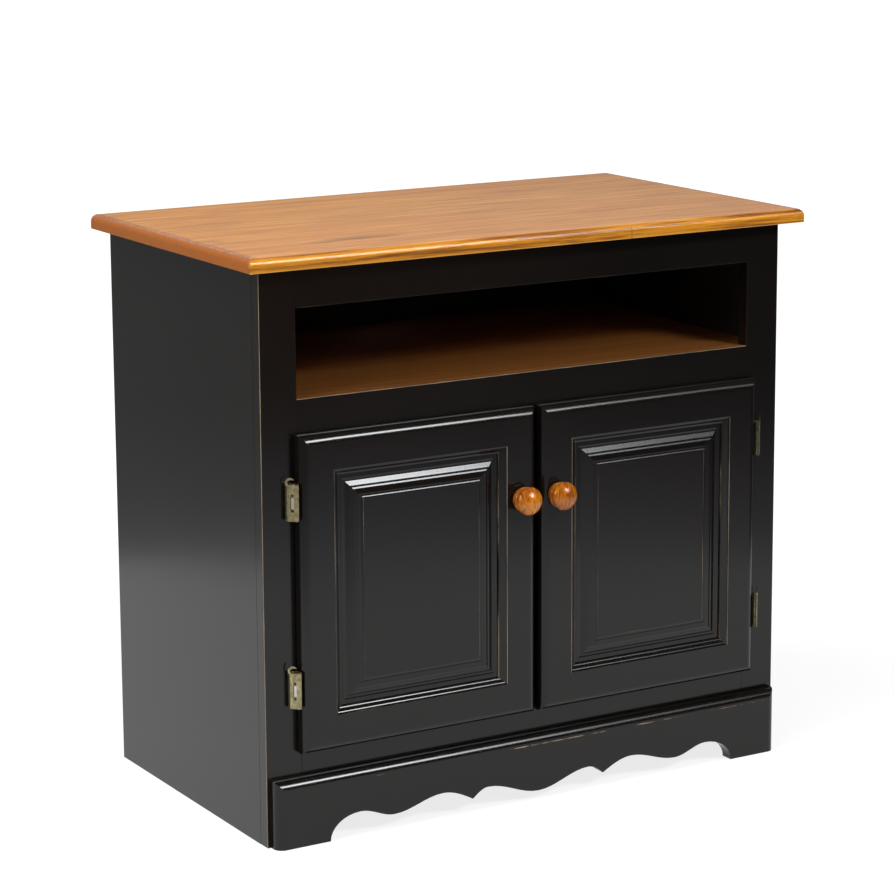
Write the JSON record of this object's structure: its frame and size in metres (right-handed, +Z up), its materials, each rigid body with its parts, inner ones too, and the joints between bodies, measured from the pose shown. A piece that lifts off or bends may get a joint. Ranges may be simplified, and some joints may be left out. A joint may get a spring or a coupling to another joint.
{
  "type": "media cabinet",
  "caption": "Low wooden media cabinet with an overhanging top, an open component bay, two raised-panel doors on exposed hinges and a scalloped apron.",
  "frame": {"origin": "middle of the overall width and depth, knobs included, on the floor plane", "axes": "+X to the right along the front, +Y from the doors to the back panel, +Z up"},
  "size_m": [0.8608, 0.505, 0.7811],
  "materials": {
    "black_paint": "satin, worn at the edges",
    "oiled_top": "satin clear coat over stained softwood",
    "stained_inside": "stained, low sheen",
    "bare_wood": "unfinished",
    "knob_wood": "gloss clear coat",
    "aged_brass": "aged, satin",
    "plated_steel": "dull plated"
  },
  "bodies": {
    "cabinet": {"top_board": "oiled_top", "left_side": "black_paint", "right_side": "black_paint", "left_stile": "black_paint", "right_stile": "black_paint", "top_rail": "black_paint", "mid_rail": "black_paint", "bottom_rail": "black_paint", "apron": "black_paint", "bottom_panel": "stained_inside", "component_shelf": "stained_inside", "back_panel": "stained_inside", "back_rail": "stained_inside", "adjustable_shelf": "stained_inside", "left_cleat": "bare_wood", "right_cleat": "bare_wood", "shelf_pins": "plated_steel", "left_upper_hinge_frame_leaf": "plated_steel", "left_upper_hinge_pin": "plated_steel", "left_lower_hinge_frame_leaf": "plated_steel", "left_lower_hinge_pin": "plated_steel", "right_upper_hinge_frame_leaf": "plated_steel", "right_upper_hinge_pin": "plated_steel", "right_lower_hinge_frame_leaf": "plated_steel", "right_lower_hinge_pin": "plated_steel"},
    "left_door": {"left_door_outer_stile": "black_paint", "left_door_inner_stile": "black_paint", "left_door_top_rail": "black_paint", "left_door_bottom_rail": "black_paint", "left_door_panel": "black_paint", "left_knob": "knob_wood", "left_knob_screw": "plated_steel", "left_upper_hinge_door_leaf": "aged_brass", "left_upper_hinge_spring": "plated_steel", "left_lower_hinge_door_leaf": "aged_brass", "left_lower_hinge_spring": "plated_steel"},
    "right_door": {"right_door_outer_stile": "black_paint", "right_door_inner_stile": "black_paint", "right_door_top_rail": "black_paint", "right_door_bottom_rail": "black_paint", "right_door_panel": "black_paint", "right_knob": "knob_wood", "right_knob_screw": "plated_steel", "right_upper_hinge_door_leaf": "aged_brass", "right_upper_hinge_spring": "plated_steel", "right_lower_hinge_door_leaf": "aged_brass", "right_lower_hinge_spring": "plated_steel"}
  },
  "joints": [
    {"name": "left_door_swing", "type": "hinge", "parent": "cabinet", "child": "left_door", "pos_m": [-0.37055, -0.20808, 0.33495], "axis": [0, 0, -1], "range_deg": [0, 110]},
    {"name": "right_door_swing", "type": "hinge", "parent": "cabinet", "child": "right_door", "pos_m": [0.37055, -0.20808, 0.33495], "axis": [0, 0, 1], "range_deg": [0, 110]}
  ]
}
